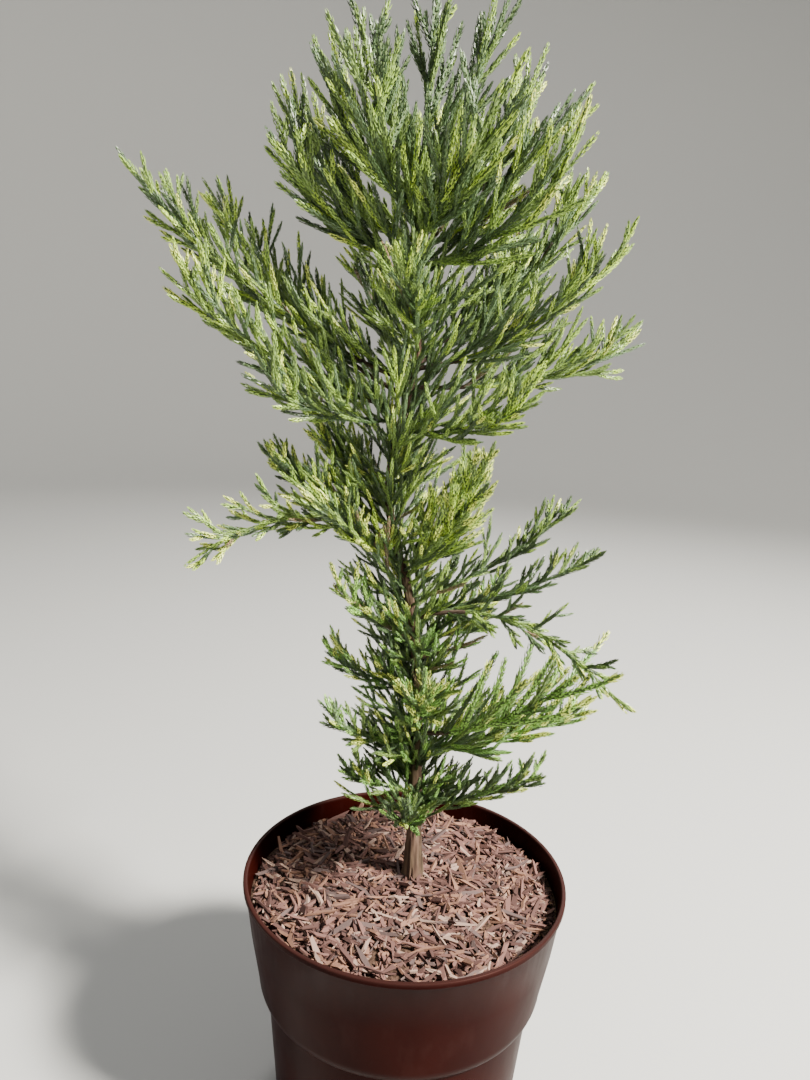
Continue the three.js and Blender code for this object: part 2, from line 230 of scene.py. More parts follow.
def drawOut(outline, extrude):
    radius, height = outline[0]
    for nextRadius, nextHeight in outline[1:]:
        extrude(TRANSFORM_OT_translate={"value": (0, 0, (nextHeight - height) * mm)})
        share = nextRadius / radius
        bpy.ops.transform.resize(value=(share, share, 1))
        radius, height = nextRadius, nextHeight


def endShape(inside=False):
    bpy.ops.mesh.select_all(action="SELECT")
    bpy.ops.mesh.normals_make_consistent(inside=inside)
    bpy.ops.object.mode_set(mode="OBJECT")


def turnedShape(outline, sides):   # the last face is left as the lid
    piece = startRing(outline[0][0], (0, 0, outline[0][1]), sides)
    drawOut(outline, bpy.ops.mesh.extrude_region_move)
    endShape()
    return piece


def arcPoints(centre, radii, start, end, parts):   # angles in degrees, first and last point included
    points = []
    for part in range(parts + 1):
        angle = (start + (end - start) * part / parts) * degree
        points.append((centre[0] + radii[0] * math.cos(angle), centre[1] + radii[1] * math.sin(angle)))
    return points


# Pot

pot = {
    "sides": 96,
    "height": 290,
    "rimRadius": 180,
    "rimDepth": 6.5,
    "rimWidth": 5,
    "rimRound": 1.6,
    "rimParts": 5,
    "underRim": 177,
    "collarFootRadius": 161,
    "collarFootHeight": 176,
    "collarBulge": 1.2,
    "stepRadius": 150.6,
    "stepHeight": 157,
    "stepParts": 7,
    "footRadius": 137,
    "footRound": 4,
    "wall": 2.6,
    "floor": 4,
    "drainCount": 6,
    "drainRadius": 8,
    "drainRing": 104,
    "drainSides": 24,
    "drainCut": 24,
    "middleShare": 0.3,   # the first ring of the floor, of the drains' ring
    "creaseAngle": 34,
}


def potOutline(sizes):
    top = sizes["height"]
    rim = sizes["rimRadius"]
    roll = sizes["rimRound"]
    foot = sizes["footRound"]
    wall = sizes["wall"]
    arcs = sizes["rimParts"]
    underRim = top - sizes["rimDepth"]
    collar = (sizes["collarFootRadius"], sizes["collarFootHeight"])
    step = (collar[0] - sizes["stepRadius"], collar[1] - sizes["stepHeight"])
    bulge = (collar[0] + sizes["underRim"]) / 2 + sizes["collarBulge"]
    middle = sizes["drainRing"] * sizes["middleShare"]
    outside = [
        *arcPoints((sizes["footRadius"] - foot, foot), (foot, foot), -90, 0, arcs),
        *arcPoints((sizes["stepRadius"], collar[1]), step, -90, 0, sizes["stepParts"]),
        (bulge, (collar[1] + underRim) / 2),
        (sizes["underRim"], underRim - roll),
    ]
    lip = [
        *arcPoints((rim - roll, underRim + roll), (roll, roll), -90, 0, arcs),
        *arcPoints((rim - roll, top - roll), (roll, roll), 0, 90, arcs),
        *arcPoints((rim - sizes["rimWidth"] + roll, top - roll), (roll, roll), 90, 180, arcs),
    ]
    inside = [
        (collar[0] - wall, collar[1] + wall),
        (sizes["stepRadius"] - wall, sizes["stepHeight"] + wall),
        (sizes["footRadius"] - wall - foot / 2, sizes["floor"] + foot / 2),
        (sizes["footRadius"] - wall - foot, sizes["floor"]),
        (middle, sizes["floor"]),
    ]
    return [(middle, 0), *outside, *lip, *inside]


def cutDrains(piece, sizes):
    for hole in range(sizes["drainCount"]):
        angle = (hole + 0.5) / sizes["drainCount"] * 2 * math.pi
        place = (sizes["drainRing"] * math.cos(angle) * mm, sizes["drainRing"] * math.sin(angle) * mm, 0)
        deselectAll()
        bpy.ops.mesh.primitive_cylinder_add(
            vertices=sizes["drainSides"], radius=sizes["drainRadius"] * mm,
            depth=sizes["drainCut"] * mm, location=place,
        )
        cutter = bpy.context.object
        selectOnly(piece)
        cut = piece.modifiers.new("drain", "BOOLEAN")
        cut.object = cutter
        cut.operation = "DIFFERENCE"
        cut.solver = "EXACT"
        bpy.ops.object.modifier_apply(modifier=cut.name)
        bpy.data.objects.remove(cutter)


plastic = {
    "colour": (0.06, 0.02, 0.014),
    "specular": 0.03,
    "sheen": (1.0, 0.62, 0.58, 1),
    "clouds": (9, 4),
    "cloudColours": [(0.3, (0.0090, 0.0009, 0.0006)), (0.7, (0.0170, 0.0022, 0.0013))],
    "grime": (60, 6, (1, 1, 0.35)),
    "grimeShare": [(0.55, (0.0, 0.0, 0.0)), (0.8, (0.05, 0.05, 0.05))],
    "paleRimTop": (286.5, 289.8, 0.12),   # the rim's top edge is mixed toward the dust colour, so it is paler
    "dust": (0.105, 0.060, 0.054, 1),
    "roughness": (0.4, 0.28, 0.48),   # plain, and the range of its pattern
    "grain": (900, 2),
    "relief": (0.15, 0.2),
}


def plasticMaterial(look):
    plain, *ranged = look["roughness"]
    material, shader = newMaterial("pot plastic", look["colour"], plain, look["specular"])
    shader.inputs["Specular Tint"].default_value = look["sheen"]
    clouds = objectNoise(material, *look["clouds"])
    grime = objectNoise(material, *look["grime"])
    base = colourRamp(material, clouds, look["cloudColours"])
    share = addNode(material, "ShaderNodeMath", operation="MAXIMUM")
    feed(material, share.inputs[0], colourRamp(material, grime, look["grimeShare"]))
    feed(material, share.inputs[1], heightShare(material, *look["paleRimTop"]))
    dusty = mixColours(material, share.outputs["Value"], base, look["dust"])
    feed(material, shader.inputs["Base Color"], dusty)
    feed(material, shader.inputs["Roughness"], mapRange(material, grime, *ranged))
    bump(material, shader, objectNoise(material, *look["grain"]), *look["relief"])
    return material


def buildPot():
    piece = turnedShape(potOutline(pot), pot["sides"])
    cutDrains(piece, pot)
    shadeByAngle(piece, pot["creaseAngle"])
    finishPiece(piece, "pot_shell", plasticMaterial(plastic), ["pot"])
    print("pot done")


buildPot()


# Compost and the bed of the mulch

bed = {
    "sides": 72,
    "compostTop": 246,
    "edgeHeight": 268,
    "topHeight": 284,
    "flatRadius": 34,
    "domePower": 1.4,
    "wallGap": 0.4,
    "rings": 22,
    "relief": 3.2,
    "reliefSize": 12,
    "smoothBelow": 8,
    "smoothEdge": 2,
    "lowered": 3.0,
    "creaseAngle": 60,
}
crumbs = {"specular": 0.15, "grain": (260, 8), "roughness": (0.95,), "relief": (1.0, 3)}
crumbColours = {
    "mulch fines": [(0.35, (0.022, 0.012, 0.008)), (0.7, (0.10, 0.058, 0.040))],
    "compost crumbs": [(0.35, (0.012, 0.008, 0.006)), (0.7, (0.05, 0.035, 0.024))],
}


def wallRadius(height):   # the pot's inner face inside the collar
    low = (pot["collarFootRadius"] - pot["wall"], pot["collarFootHeight"] + pot["wall"])
    high = (pot["rimRadius"] - pot["rimWidth"], pot["height"])
    return between(low[0], high[0], (height - low[1]) / (high[1] - low[1]))


def mulchHeight(radius):
    edge = wallRadius(bed["edgeHeight"])
    along = max(0, (radius - bed["flatRadius"]) / (edge - bed["flatRadius"]))
    return bed["topHeight"] - (bed["topHeight"] - bed["edgeHeight"]) * along ** bed["domePower"]


def bedOutline(sizes):
    foot = sizes["compostTop"] + sizes["wallGap"]
    edge = wallRadius(sizes["edgeHeight"]) - sizes["wallGap"]
    points = [(wallRadius(foot) - sizes["wallGap"], foot)]
    for ring in range(sizes["rings"]):
        radius = edge * (1 - ring / sizes["rings"])
        points.append((radius, mulchHeight(radius) - sizes["lowered"]))
    return points


def roughen(piece, sizes):   # lumps in the upper side only
    lowest = sizes["edgeHeight"] - sizes["smoothBelow"]
    widest = wallRadius(sizes["edgeHeight"]) - sizes["smoothEdge"]
    for vertex in piece.data.vertices:
        if vertex.co.z < lowest * mm or math.hypot(vertex.co.x, vertex.co.y) > widest * mm:
            continue
        vertex.co.z += sizes["relief"] * mm * noise.noise(vertex.co / (sizes["reliefSize"] * mm))


def crumbMaterial(name):
    stops = crumbColours[name]
    return grainMaterial(name, stops[0][1], crumbs, stops)


def buildBed():
    piece = turnedShape(bedOutline(bed), bed["sides"])
    roughen(piece, bed)
    shadeByAngle(piece, bed["creaseAngle"])
    finishPiece(piece, "mulch_bed", crumbMaterial("mulch fines"), ["mulch"])
    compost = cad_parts["compost"]
    compost.data.materials.clear()
    compost.data.materials.append(crumbMaterial("compost crumbs"))
    print("compost and mulch bed done")


buildBed()


# Meshes of many small things, from arrays

def meshPiece(name, points, faces, material, nodes):
    mesh = bpy.data.meshes.new(name)
    mesh.from_pydata(points * mm, [], faces)
    mesh.update()
    finishPiece(newObject(name, mesh), name, material, nodes)
    print("  ", name, len(faces), "triangles")


def repeatFaces(pattern, stride, count):   # the same faces for every copy, each on its own points
    return (np.array(pattern)[None] + stride * np.arange(count)[:, None, None]).reshape(-1, 3)


# Mulch chips

chips = {
    "seed": 7,
    "count": 4600,
    "longest": 42,
    "shortest": 6,
    "lengthPower": 2.3,
    "width": (2.0, 7.0),
    "shortWidth": 0.55,   # of a long one's width
    "thickness": (1.2, 3.2),
    "pitch": 13,
    "roll": 25,
    "sections": ((-0.5, 0.62), (0.0, 1.0), (0.5, 0.5)),   # place along the chip, width there
    "bend": 0.12,
    "slant": 0.12,
    "layer": 8.5,
    "buried": 0.66,   # of the layer
    "wallGap": 1.2,
    "trunkGap": 12,
    "moundHeight": 7,
    "moundRadius": 34,
}
chipColours = {   # name: (share, colour)
    "pale": (0.13, (0.250, 0.166, 0.132)),
    "tan": (0.22, (0.185, 0.096, 0.066)),
    "pink": (0.27, (0.136, 0.069, 0.058)),
    "brown": (0.30, (0.070, 0.035, 0.030)),
    "grey": (0.12, (0.088, 0.058, 0.054)),
}
chipGrain = {"specular": 0.2, "grain": (420, 4), "roughness": (0.9, 0.75, 1.0), "relief": (0.5, 0.6)}
chipFaces = [   # three sections of four corners, joined and capped
    *[(a + s, b + s, b + 4 + s) for s in (0, 4) for a, b in ((0, 1), (1, 2), (2, 3), (3, 0))],
    *[(a + s, b + 4 + s, a + 4 + s) for s in (0, 4) for a, b in ((0, 1), (1, 2), (2, 3), (3, 0))],
    (0, 3, 2), (0, 2, 1), (8, 9, 10), (8, 10, 11),
]
chipCorners = ((-0.5, -0.5), (0.5, -0.5), (0.5, 0.5), (-0.5, 0.5))


def chipCentres(sizes, dice, length, edge):   # spread over the bed, and heaped a little round the trunk
    count = len(length)
    radius = edge * np.sqrt(dice.random(count))
    radius = np.minimum(radius, edge - length / 2 * dice.random(count))
    radius = np.maximum(radius, sizes["trunkGap"])
    around = dice.random(count) * 2 * np.pi
    height = np.array([mulchHeight(far) for far in radius])
    centre = np.stack([radius * np.cos(around), radius * np.sin(around), height], 1)
    apart = np.hypot(centre[:, 0] - trunk["footX"], centre[:, 1] - trunk["footY"])
    centre[:, 2] += sizes["moundHeight"] * np.exp(-((apart / sizes["moundRadius"]) ** 2))
    centre[:, 2] += sizes["layer"] * (dice.random(count) - sizes["buried"])
    return centre


def chipPoints(sizes):
    dice = np.random.default_rng(sizes["seed"])
    count = sizes["count"]
    length = between(sizes["shortest"], sizes["longest"], dice.random(count) ** sizes["lengthPower"])
    slim = between(sizes["shortWidth"], 1, length / sizes["longest"])
    width = dice.uniform(*sizes["width"], count) * slim
    thick = dice.uniform(*sizes["thickness"], count)
    heading = dice.random(count) * 2 * np.pi
    pitch = dice.normal(0, sizes["pitch"] * degree, count)
    roll = dice.normal(0, sizes["roll"] * degree, count)
    edge = wallRadius(bed["edgeHeight"]) - sizes["wallGap"]
    centre = chipCentres(sizes, dice, length, edge)
    along = np.stack([np.cos(heading) * np.cos(pitch), np.sin(heading) * np.cos(pitch), np.sin(pitch)], 1)
    flat = np.stack([-np.sin(heading), np.cos(heading), 0 * heading], 1)
    up = np.cross(along, flat)
    side = flat * np.cos(roll)[:, None] + up * np.sin(roll)[:, None]
    up = np.cross(along, side)
    points = np.empty((count, 3, 4, 3))
    for section, (place, taper) in enumerate(sizes["sections"]):
        bend = sizes["bend"] * length * dice.normal(0, 1, count) * (0 if place == 0 else 1)
        for corner, (sideways, upward) in enumerate(chipCorners):
            slant = sizes["slant"] * dice.normal(0, 1, count) * (0 if place == 0 else 1)
            at = centre + along * ((place + slant) * length)[:, None]
            at = at + side * (sideways * taper * width + bend)[:, None]
            points[:, section, corner] = at + up * (upward * thick)[:, None]
    fits = np.hypot(points[..., 0], points[..., 1]).max((1, 2)) < edge
    return points[fits].reshape(-1, 12, 3), dice


def buildChips():
    points, dice = chipPoints(chips)
    bounds = np.cumsum([share for share, colour in chipColours.values()])
    kinds = np.searchsorted(bounds / bounds[-1], dice.random(len(points)))
    for kind, (name, (share, colour)) in enumerate(chipColours.items()):
        own = points[kinds == kind]
        faces = repeatFaces(chipFaces, 12, len(own))
        material = grainMaterial("chip " + name, colour, chipGrain)
        meshPiece("mulch_chips_" + name, own.reshape(-1, 3), faces, material, [])
    print("mulch chips done")


# The tree's own line: trunk, limbs and the seeded rule, the same as in the part's source

trunk = {
    "topHeight": 1062,
    "footX": 9,
    "footY": -8,
    "topX": -15,
    "topY": 0,
    "footRadius": 9,
    "topRadius": 2.2,
    "taperPower": 1.6,
    "flare": 4.5,
    "flareHeight": 26,
    "flareLobes": 4,
    "flareLobeDepth": 1.4,
    "flareLobeTurn": 0.6,
    "bows": ((725, -34, 106), (990, -11, 70)),   # height, reach, width
}
shoot = {
    "thickness": 14,
    "spacing": 18.5,
    "leave": 44,
    "leaveSpread": 14,
    "lift": 0.36,
    "liftLast": 0.36,
    "firstAlong": 0.1,
    "afterBough": 0.04,
    "last": 0.84,
    "shortest": 24,
    "shortening": 0.4,
    "unevenness": 0.3,
    "turnSpread": 40,
    "tries": 5,
}
curl = 0.16
turnOn = 72
stem = {"rootRadius": 2.3, "smoothShare": 0.8}
bough = {"rootRadius": 3.4, "tipRadius": 2.5}
bead = {
    "spacing": 6, "share": 0.42, "margin": 0.8, "ownMargin": 0, "freeAfter": 0.4, "rootLength": 10,
    "most": 40000,
}
steepSlope = 0.9
limbTable = [   # name, height, heading, rise, reach, sag, spread, bare
    ("crown_leader", 1062, 20, 89, 119, 0, 64, 0),
    ("crown_leader_left", 1021, 197, 64, 157, 0.1, 66, 0),
    ("crown_right_top", 1012, 16, 66, 184, 0.1, 74, 0),
    ("crown_left_top", 999, 168, 52, 181, 0.12, 78, 0),
    ("crown_right_back", 988, 34, 48, 222, 0.12, 80, 0),
    ("crown_front_left", 984, 240, 44, 176, 0.12, 78, 0),
    ("crown_back", 975, 92, 44, 206, 0.12, 80, 0),
    ("crown_front_right", 968, 298, 40, 172, 0.12, 78, 0),
    ("crown_left_back", 966, 150, 39, 223, 0.12, 82, 0),
    ("crown_right_mid", 960, 2, 47, 202, 0.14, 78, 0),
    ("crown_left_front", 947, 200, 34, 182, 0.12, 80, 0),
    ("crown_right_front", 944, 338, 35, 196, 0.12, 78, 0),
    ("mid_front", 874, 262, 32, 164, 0.08, 62, 0),
    ("right_high", 864, 12, 45, 253, 0.12, 76, 0.24),
    ("mid_right_back", 852, 50, 37, 246, 0.1, 76, 0.24),
    ("mid_back", 838, 112, 38, 222, 0.1, 74, 0.22),
    ("right_mid", 846, 342, 31, 226, 0.1, 72, 0.22),
    ("left_high", 832, 186, 34, 332, 0.08, 80, 0.26),
    ("right_low", 828, 6, 13, 240, 0.06, 68, 0.22),
    ("left_mid", 818, 160, 41, 318, 0.1, 78, 0.26),
    ("right_front", 784, 318, 14, 172, 0.06, 64, 0),
    ("left_low", 806, 204, 26, 264, 0.08, 72, 0.24),
    ("left_under", 792, 218, 14, 182, 0.05, 64, 0),
    ("waist_left_high", 704, 158, 46, 152, 0.08, 62, 0),
    ("waist_left", 688, 190, 29, 154, 0.08, 62, 0),
    ("waist_left_droop", 674, 200, -6, 212, -0.16, 60, 0.22),
    ("waist_back", 680, 84, 34, 178, 0.08, 62, 0),
    ("waist_left_low", 650, 226, 33, 122, 0.06, 58, 0),
    ("waist_right_tuft", 632, 318, 55, 178, 0.08, 68, 0),
    ("waist_right", 610, 12, 31, 210, 0.08, 64, 0),
    ("waist_right_arm", 598, 352, 22, 204, 0.06, 58, 0),
    ("waist_right_droop", 588, 338, -14, 234, -0.18, 56, 0.24),
    ("low_left_high", 566, 206, 36, 116, 0.06, 54, 0),
    ("low_right_high", 560, 28, 22, 112, 0.06, 56, 0),
    ("low_back", 512, 98, 26, 144, 0.06, 58, 0),
    ("low_left", 508, 170, 18, 108, 0.06, 56, 0),
    ("low_front", 484, 272, 32, 112, 0.06, 58, 0),
    ("low_right", 462, 342, 31, 208, 0.12, 66, 0.2),
    ("low_left_front", 450, 216, 24, 120, 0.06, 58, 0),
    ("low_right_mid", 442, 8, 16, 200, 0.08, 62, 0),
    ("foot_back", 396, 104, 18, 112, 0.05, 50, 0),
    ("foot_left", 392, 200, 24, 92, 0.05, 50, 0),
    ("foot_right", 378, 350, 22, 146, 0.06, 56, 0),
    ("foot_front", 368, 262, 24, 100, 0.05, 50, 0),
]
limbFields = ("name", "height", "heading", "rise", "reach", "sag", "spread", "bare")
limbs = [dict(zip(limbFields, row)) for row in limbTable]


def upTrunk(height):
    return (height - bed["topHeight"]) / (trunk["topHeight"] - bed["topHeight"])


def trunkAxis(height):
    x = between(trunk["footX"], trunk["topX"], upTrunk(height))
    y = between(trunk["footY"], trunk["topY"], upTrunk(height))
    for bowHeight, reach, width in trunk["bows"]:
        x += reach * math.exp(-(((height - bowHeight) / width) ** 2))
    return np.array([x, y, height])


def trunkRadius(height):
    left = 1 - min(1, upTrunk(height))
    return between(trunk["topRadius"], trunk["footRadius"], left ** trunk["taperPower"])


def trunkFlare(height, angle):
    fade = math.exp(-(height - bed["topHeight"]) / trunk["flareHeight"])
    lobe = trunk["flareLobeDepth"] * math.cos(trunk["flareLobes"] * angle + trunk["flareLobeTurn"])
    return fade * (trunk["flare"] + lobe)


# A path is start + run * along + bend * along * along, and along goes from 0 to 1.
# The next three functions also take many paths at once, one in each row, with a column of alongs.

def pointAt(path, along):
    return path["start"] + path["run"] * along + path["bend"] * along * along


def tangentAt(path, along):
    tangent = path["run"] + 2 * path["bend"] * along
    return tangent / np.linalg.norm(tangent, axis=-1, keepdims=True)


def squareTo(path, along):   # two directions square to a path, the second one on its upper side
    tangent = tangentAt(path, along)
    steep = np.abs(tangentAt(path, 0.5)[..., 2:]) > steepSlope
    across = np.cross(np.where(steep, (0.0, 1.0, 0.0), (0.0, 0.0, 1.0)), tangent)
    across /= np.linalg.norm(across, axis=-1, keepdims=True)
    return tangent, across, np.cross(tangent, across)


def makePath(start, run, bend, length):
    return {"start": start, "run": run, "bend": bend, "length": length}


def limbPath(limb):
    heading = limb["heading"] * degree
    rise = limb["rise"] * degree
    reach = limb["reach"]
    level = reach * math.cos(rise)
    climb = reach * (math.sin(rise) - 4 * limb["sag"])   # a bow that sags by this share in its middle
    run = np.array([level * math.cos(heading), level * math.sin(heading), climb])
    return makePath(trunkAxis(limb["height"]), run, np.array([0, 0, 4 * limb["sag"] * reach]), reach)


def shootPath(root, direction, length):
    return makePath(root, direction * length, np.array([0, 0, curl * length]), length)


def leavingDirection(path, along, turn, leave, lift):
    tangent, across, over = squareTo(path, along)
    direction = tangent * math.cos(leave) + across * math.sin(leave) * math.cos(turn)
    direction = direction + over * math.sin(leave) * math.sin(turn)
    direction[2] += lift
    return direction / np.linalg.norm(direction)


def growShoots(parent, rule, draw, fits):   # a shoot that doesn't fit turns on, and is left out at last
    grown = []
    for index in range(rule["count"]):
        along = rule["first"] + (rule["last"] - rule["first"]) * (index + 0.5) / rule["count"]
        length = rule["longest"] * (1 - rule["shortening"] * along)
        length *= 1 + rule["unevenness"] * (draw() - 0.5)
        leave = (rule["leave"] + rule["leaveSpread"] * (draw() - 0.5)) * degree
        firstTurn = index * goldenAngle + rule["turnSpread"] * draw()
        lift = between(rule["lift"], rule["liftLast"], along)
        if length < rule["shortest"]:
            continue
        for attempt in range(rule["tries"]):
            turn = (firstTurn + attempt * turnOn) * degree
            direction = leavingDirection(parent, along, turn, leave, lift)
            path = shootPath(pointAt(parent, along), direction, length)
            if fits(path):
                grown.append(path)
                break
    return grown


def beadsOf(path, start, end):
    count = max(2, math.ceil((end - start) * path["length"] / bead["spacing"] - 1e-9))
    alongs = start + (end - start) * np.arange(count + 1) / count
    return pointAt(path, alongs[:, None]), alongs


class Taken:   # the space that limbs and shoots have filled so far, as beads
    def __init__(self):
        self.centres = np.empty((bead["most"], 3))
        self.radii = np.empty(bead["most"])
        self.owners = np.empty(bead["most"], int)
        self.count = 0

    def add(self, centres, radii, owner):
        end = self.count + len(centres)
        self.centres[self.count:end] = centres
        self.radii[self.count:end] = radii
        self.owners[self.count:end] = owner
        self.count = end

    def blocks(self, centres, alongs, radius, owner):
        apart = self.centres[None, :self.count] - centres[:, None]
        squared = np.einsum("ijk,ijk->ij", apart, apart)
        own = self.owners[:self.count] == owner
        margin = np.where(own, bead["ownMargin"], bead["margin"])
        touching = squared < (radius + self.radii[:self.count] + margin) ** 2
        touching &= ~(own[None] & (alongs < bead["freeAfter"])[:, None])
        return touching.any()

    def claim(self, path, radius, owner):
        centres, alongs = beadsOf(path, 0, 1)
        if self.blocks(centres, alongs, radius, owner):
            return False
        self.add(centres, radius, owner)
        return True


def growTree():
    taken = Taken()
    trunkOwner, boughOwner = -1, -2
    heights = np.arange(bed["topHeight"], trunk["topHeight"], bead["spacing"])
    centres = np.array([trunkAxis(height) for height in heights])
    taken.add(centres, [trunkRadius(height) for height in heights], trunkOwner)
    grown = [{"limb": limb, "path": limbPath(limb), "owner": index} for index, limb in enumerate(limbs)]
    tipRadius = shoot["thickness"] * bead["share"]
    for mass in grown:
        limb, path, owner = mass["limb"], mass["path"], mass["owner"]
        rooted = max(limb["bare"], bead["rootLength"] / limb["reach"])
        if limb["bare"] > 0:
            centres = beadsOf(path, shoot["afterBough"], limb["bare"])[0]
            taken.add(centres, bough["rootRadius"], boughOwner - owner)
        taken.add(beadsOf(path, rooted, stem["smoothShare"])[0], stem["rootRadius"], owner)
        taken.add(beadsOf(path, stem["smoothShare"], 1)[0], tipRadius, owner)
    for mass in grown:
        limb, owner = mass["limb"], mass["owner"]
        first = max(limb["bare"] + shoot["afterBough"], shoot["firstAlong"])
        count = math.floor((shoot["last"] - first) * limb["reach"] / shoot["spacing"] + 0.5)
        rule = {**shoot, "count": count, "first": first, "longest": limb["spread"]}
        mass["shoots"] = growShoots(
            mass["path"], rule, drawer(owner + 1), lambda path: taken.claim(path, tipRadius, owner)
        )
    return grown


tree = growTree()
print("tree grown:", sum(len(mass["shoots"]) for mass in tree), "main shoots")


# Finer twigs: the same rule carried on, each kept inside the space of its own mass

# A zone's sprigs start at its foot on the trunk. A shoot is thin by the trunk and thick at the outside,
# and its leaf tips spread to this share of its thickness.
zones = {
    "crown": {
        "foot": 925, "thick": 7.4, "thin": 4.4, "spread": 0.44, "leave": 24, "lift": 0.10,
        "stemSpacing": 10.5, "stemLongest": 92, "twigSpacing": 14, "twigLast": 0.44, "twigShare": 0.54,
    },
    "arms": {
        "foot": 745, "thick": 4.8, "thin": 3.5, "spread": 0.44, "leave": 25, "lift": 0.14,
        "stemSpacing": 8.3, "stemLongest": 74, "twigSpacing": 10.5, "twigLast": 0.66, "twigShare": 0.56,
    },
    "waist": {
        "foot": 575, "thick": 4.7, "thin": 3.4, "spread": 0.48, "leave": 28, "lift": 0.14,
        "stemSpacing": 6.8, "stemLongest": 62, "twigSpacing": 9.0, "twigLast": 0.7, "twigShare": 0.52,
    },
    "low": {
        "foot": 0, "thick": 5.2, "thin": 3.7, "spread": 0.48, "leave": 32, "lift": 0.16,
        "stemSpacing": 7.0, "stemLongest": 50, "twigSpacing": 10.0, "twigLast": 0.7, "twigShare": 0.5,
    },
}
massSizes = {   # where one mass differs from its zone
    "crown_leader": {"thick": 7.8, "stemSpacing": 13, "stemLongest": 72, "twigShare": 0.4},
    "crown_leader_left": {"thick": 7.8, "stemSpacing": 14, "stemLongest": 84, "twigShare": 0.46},
    "crown_right_top": {"thick": 7.8, "stemSpacing": 14, "stemLongest": 86, "twigShare": 0.46},
    "crown_left_top": {"thick": 7.8, "stemSpacing": 13, "stemLongest": 88, "twigShare": 0.48},
    "waist_right_tuft": {"thick": 6.4, "thin": 5.4, "stemSpacing": 8.0, "stemLongest": 84, "leave": 26},
    "low_right": {
        "thick": 8.2, "thin": 7.2, "stemSpacing": 10.5, "stemLongest": 112, "stemLeaveSpread": 34,
        "twigSpacing": 46, "twigLast": 0.6, "twigShare": 0.26, "leave": 46, "margin": 30,
        "stemLift": (0.95, 0.0),
    },
    "low_right_mid": {"stemLongest": 66, "stemSpacing": 6.5},
    "waist_right": {"stemSpacing": 9.5, "stemLongest": 44, "twigShare": 0.44},
    "waist_right_arm": {"stemSpacing": 9.5, "stemLongest": 42, "twigShare": 0.44},
    "waist_right_droop": {"stemSpacing": 10.0, "stemLongest": 44, "lift": -0.3},
    "waist_left_droop": {"stemSpacing": 9.0, "lift": -0.06},
}
fine = {
    "seed": 1000,
    "leaveSpread": 14,
    "shortest": 8,
    "shortening": 0.4,
    "unevenness": 0.5,
    "turnSpread": 50,
    "tries": 4,
    "margin": 6,   # past the box of the mass
    "stemFirst": 0.03,
    "boughFirst": 0.10,   # on a limb with a bare bough
    "stemLast": 0.94,
    "twigFirst": 0.14,
    "mulchGap": 12,
    "trunkGap": 2,
    "thickFrom": 0.85,   # of the mass's reach, where a shoot has its full thickness
}
sprigs = {   # small sprays straight from the trunk, which hide most of it
    "seed": 77,
    "first": 342,
    "last": 1046,
    "spacing": {"crown": 4.0, "arms": 3.2, "waist": 2.6, "low": 2.5},
    "rise": {"crown": (34, 74), "arms": (20, 60), "waist": (12, 60), "low": (10, 58)},
    "longest": {"crown": 84, "arms": 100, "waist": 98, "low": 92},
    "shortest": 36,
    "halfWidth": 104,
    "reach": 150,
    # below and above these heights the sprigs are dealt darker greens, as painted shade
    "shadyBelow": 410,
    "duskyAbove": 985,
}


def zoneOf(name):
    part = name.split("_")[0].replace("foot", "low")
    return part if part in zones else "arms"


def zoneAt(height):
    return next(zone for zone in zones if height > zones[zone]["foot"])


def spaceOf(limb, margin):   # the box of the mass and its bough, a little grown
    boxes = [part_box("foliage_" + limb["name"])]
    if limb["bare"] > 0:
        boxes.append(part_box("bough_" + limb["name"]))
    low = np.min([box[0] for box in boxes], axis=0) / mm - margin
    high = np.max([box[1] for box in boxes], axis=0) / mm + margin
    return low, high


def insideSpace(path, space):   # and clear of the mulch and the trunk
    for along in (0.5, 1.0):
        point = pointAt(path, along)
        height = point[2]
        if (point < space[0]).any() or (point > space[1]).any():
            return False
        if height < bed["topHeight"] + fine["mulchGap"]:
            return False
        apart = math.hypot(*(point - trunkAxis(height))[:2])
        if height < trunk["topHeight"] and apart < trunkRadius(height) + fine["trunkGap"]:
            return False
    return True


def fineShoots(parent, own, draw, space):   # what a rule of its own doesn't say is as in fine
    rule = {**fine, "liftLast": own["lift"], **own}
    rule["count"] = max(1, round((rule["last"] - rule["first"]) * parent["length"] / rule["spacing"]))
    return growShoots(parent, rule, draw, lambda path: insideSpace(path, space))


def addSpray(sprays, path, start, sizes, common):   # thicker the farther it is from the trunk
    point = pointAt(path, 0.6)
    axis = trunkAxis(min(point[2], trunk["topHeight"]))
    outer = min(1, np.linalg.norm(point - axis) / (fine["thickFrom"] * common["reach"]))
    thickness = between(sizes["thin"], sizes["thick"], outer)
    sprays.append({**common, "path": path, "from": start, "outer": outer, "thickness": thickness})


def addBranch(sprays, path, sizes, common, draw, space):   # a shoot with the twigs on it
    addSpray(sprays, path, 0, sizes, common)
    rule = {
        "first": fine["twigFirst"], "last": sizes["twigLast"], "spacing": sizes["twigSpacing"],
        "longest": path["length"] * sizes["twigShare"], "leave": sizes["leave"], "lift": sizes["lift"],
    }
    for twig in fineShoots(path, rule, draw, space):
        addSpray(sprays, twig, 0, sizes, common)


